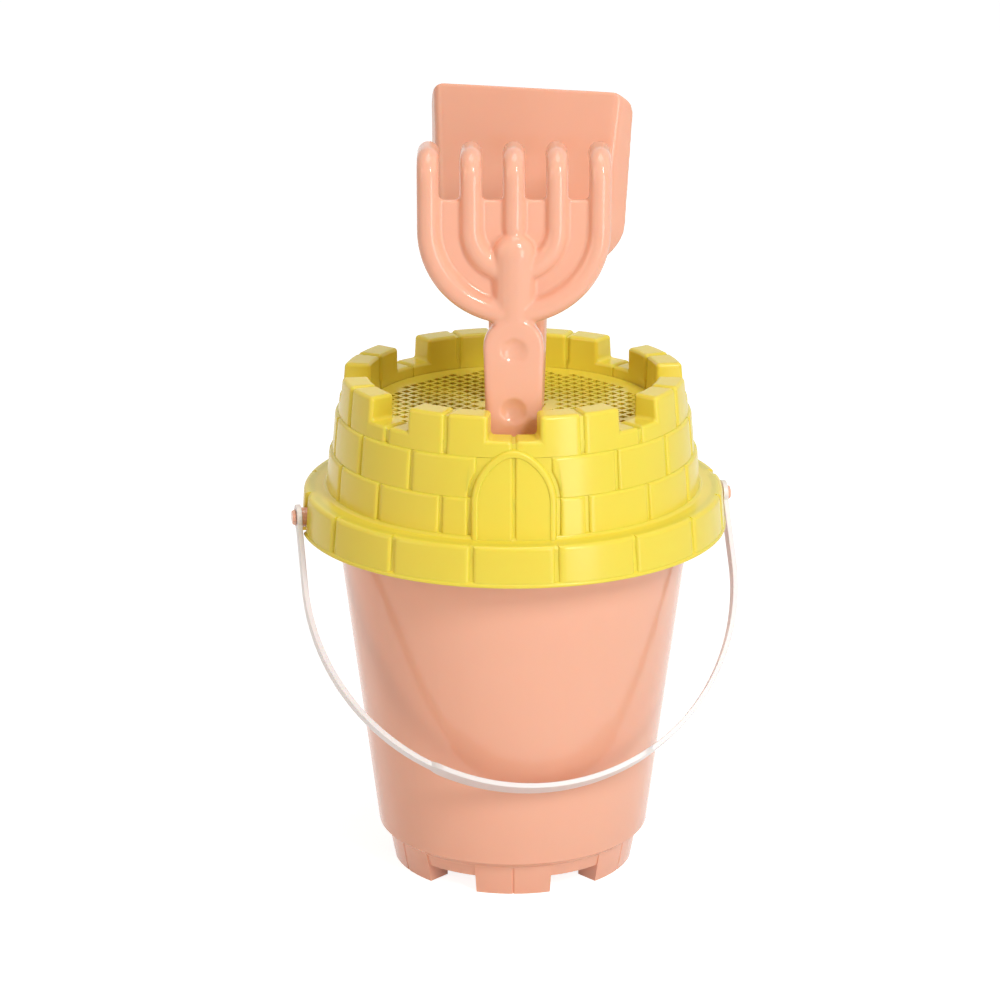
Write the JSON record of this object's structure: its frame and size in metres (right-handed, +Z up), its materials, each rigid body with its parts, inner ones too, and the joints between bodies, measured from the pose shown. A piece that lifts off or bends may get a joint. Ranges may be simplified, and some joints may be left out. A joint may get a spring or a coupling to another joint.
{
  "type": "sand sieve set",
  "caption": "Castle-shaped sand sieve with a brick wall and a square-hole mesh, seated on its bucket with a swinging bail, holding a rake and a spade.",
  "frame": {"origin": "on the floor under the bucket's axis, in the plane of its feet", "axes": "+Z up along the bucket's and the sieve's axis, -Y towards the castle door and the hanging bail, +X to the right seen from the front"},
  "size_m": [0.2099, 0.2006, 0.37],
  "materials": {
    "apricot_plastic": "glossy moulded apricot",
    "yellow_plastic": "glossy moulded yellow",
    "white_plastic": "satin moulded white"
  },
  "bodies": {
    "bucket": {"bucket": "apricot_plastic"},
    "bail": {"bail": "white_plastic"},
    "sieve": {"sieve_castle": "yellow_plastic", "sieve_mesh": "yellow_plastic"},
    "rake": {"rake": "apricot_plastic"},
    "spade": {"spade": "apricot_plastic"}
  },
  "joints": [
    {"name": "bail_swing", "type": "hinge", "parent": "bucket", "child": "bail", "pos_m": [0, 0, 0.174], "axis": [-0.9816, -0.1908, 0], "range_deg": [0, 84]},
    {"name": "sieve_lift", "type": "slide", "parent": "bucket", "child": "sieve", "axis": [0, 0, 1], "range_m": [0, 0.08]},
    {"name": "rake_lift", "type": "slide", "parent": "sieve", "child": "rake", "axis": [0, 0, 1], "range_m": [0, 0.075]},
    {"name": "spade_lift", "type": "slide", "parent": "sieve", "child": "spade", "axis": [0, 0, 1], "range_m": [0, 0.075]}
  ]
}
